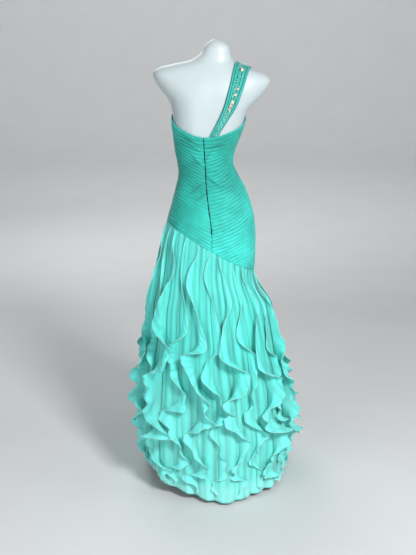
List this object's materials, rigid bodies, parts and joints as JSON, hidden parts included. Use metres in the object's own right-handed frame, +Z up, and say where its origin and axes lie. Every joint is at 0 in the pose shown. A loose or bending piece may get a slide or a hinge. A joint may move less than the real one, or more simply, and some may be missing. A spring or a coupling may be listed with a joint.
{
  "type": "evening dress on a dress form",
  "caption": "One-shoulder evening gown with a slanting pleated bodice and a flared skirt of cascading flounces, worn by a limbless torso form on a pole and round base.",
  "frame": {"origin": "centre of the stand base's underside, on the floor under the pole", "axes": "+Z up along the pole, -Y towards the back of the dress with its zip, +X towards the wearer's right"},
  "size_m": [0.6297, 0.6417, 1.5988],
  "materials": {
    "bodice_chiffon": "fine pleated chiffon, soft sheen",
    "flounce_chiffon": "sheer chiffon with a rolled hem",
    "underskirt_chiffon": "smooth chiffon over lining",
    "zip_tape": "woven tape and nylon coil",
    "stones": "cut champagne stones",
    "form_white": "satin white",
    "base_plate": "black gloss",
    "base_rim": "tan varnished edge",
    "steel": "brushed"
  },
  "bodies": {
    "root": {"back_zip": "zip_tape", "bodice_back_left": "bodice_chiffon", "bodice_back_right": "bodice_chiffon", "bodice_front": "bodice_chiffon", "flounce_01": "flounce_chiffon", "flounce_02": "flounce_chiffon", "flounce_03": "flounce_chiffon", "flounce_04": "flounce_chiffon", "flounce_05": "flounce_chiffon", "flounce_06": "flounce_chiffon", "flounce_07": "flounce_chiffon", "flounce_08": "flounce_chiffon", "flounce_09": "flounce_chiffon", "flounce_10": "flounce_chiffon", "flounce_11": "flounce_chiffon", "flounce_12": "flounce_chiffon", "flounce_13": "flounce_chiffon", "flounce_14": "flounce_chiffon", "flounce_15": "flounce_chiffon", "flounce_16": "flounce_chiffon", "flounce_17": "flounce_chiffon", "flounce_18": "flounce_chiffon", "flounce_19": "flounce_chiffon", "flounce_20": "flounce_chiffon", "flounce_21": "flounce_chiffon", "flounce_22": "flounce_chiffon", "flounce_23": "flounce_chiffon", "flounce_24": "flounce_chiffon", "form_plate": "steel", "form_torso": "form_white", "pole_foot": "steel", "shoulder_strap": "bodice_chiffon", "stand_base": "base_plate", "stand_pole": "steel", "stand_rim": "base_rim", "strap_stone_1": "stones", "strap_stone_2": "stones", "strap_stone_3": "stones", "strap_stone_4": "stones", "strap_stone_5": "stones", "strap_stone_6": "stones", "underskirt_gore_1": "underskirt_chiffon", "underskirt_gore_2": "underskirt_chiffon", "underskirt_gore_3": "underskirt_chiffon", "underskirt_gore_4": "underskirt_chiffon", "underskirt_gore_5": "underskirt_chiffon", "underskirt_gore_6": "underskirt_chiffon", "underskirt_gore_7": "underskirt_chiffon", "underskirt_gore_8": "underskirt_chiffon"}
  },
  "joints": []
}
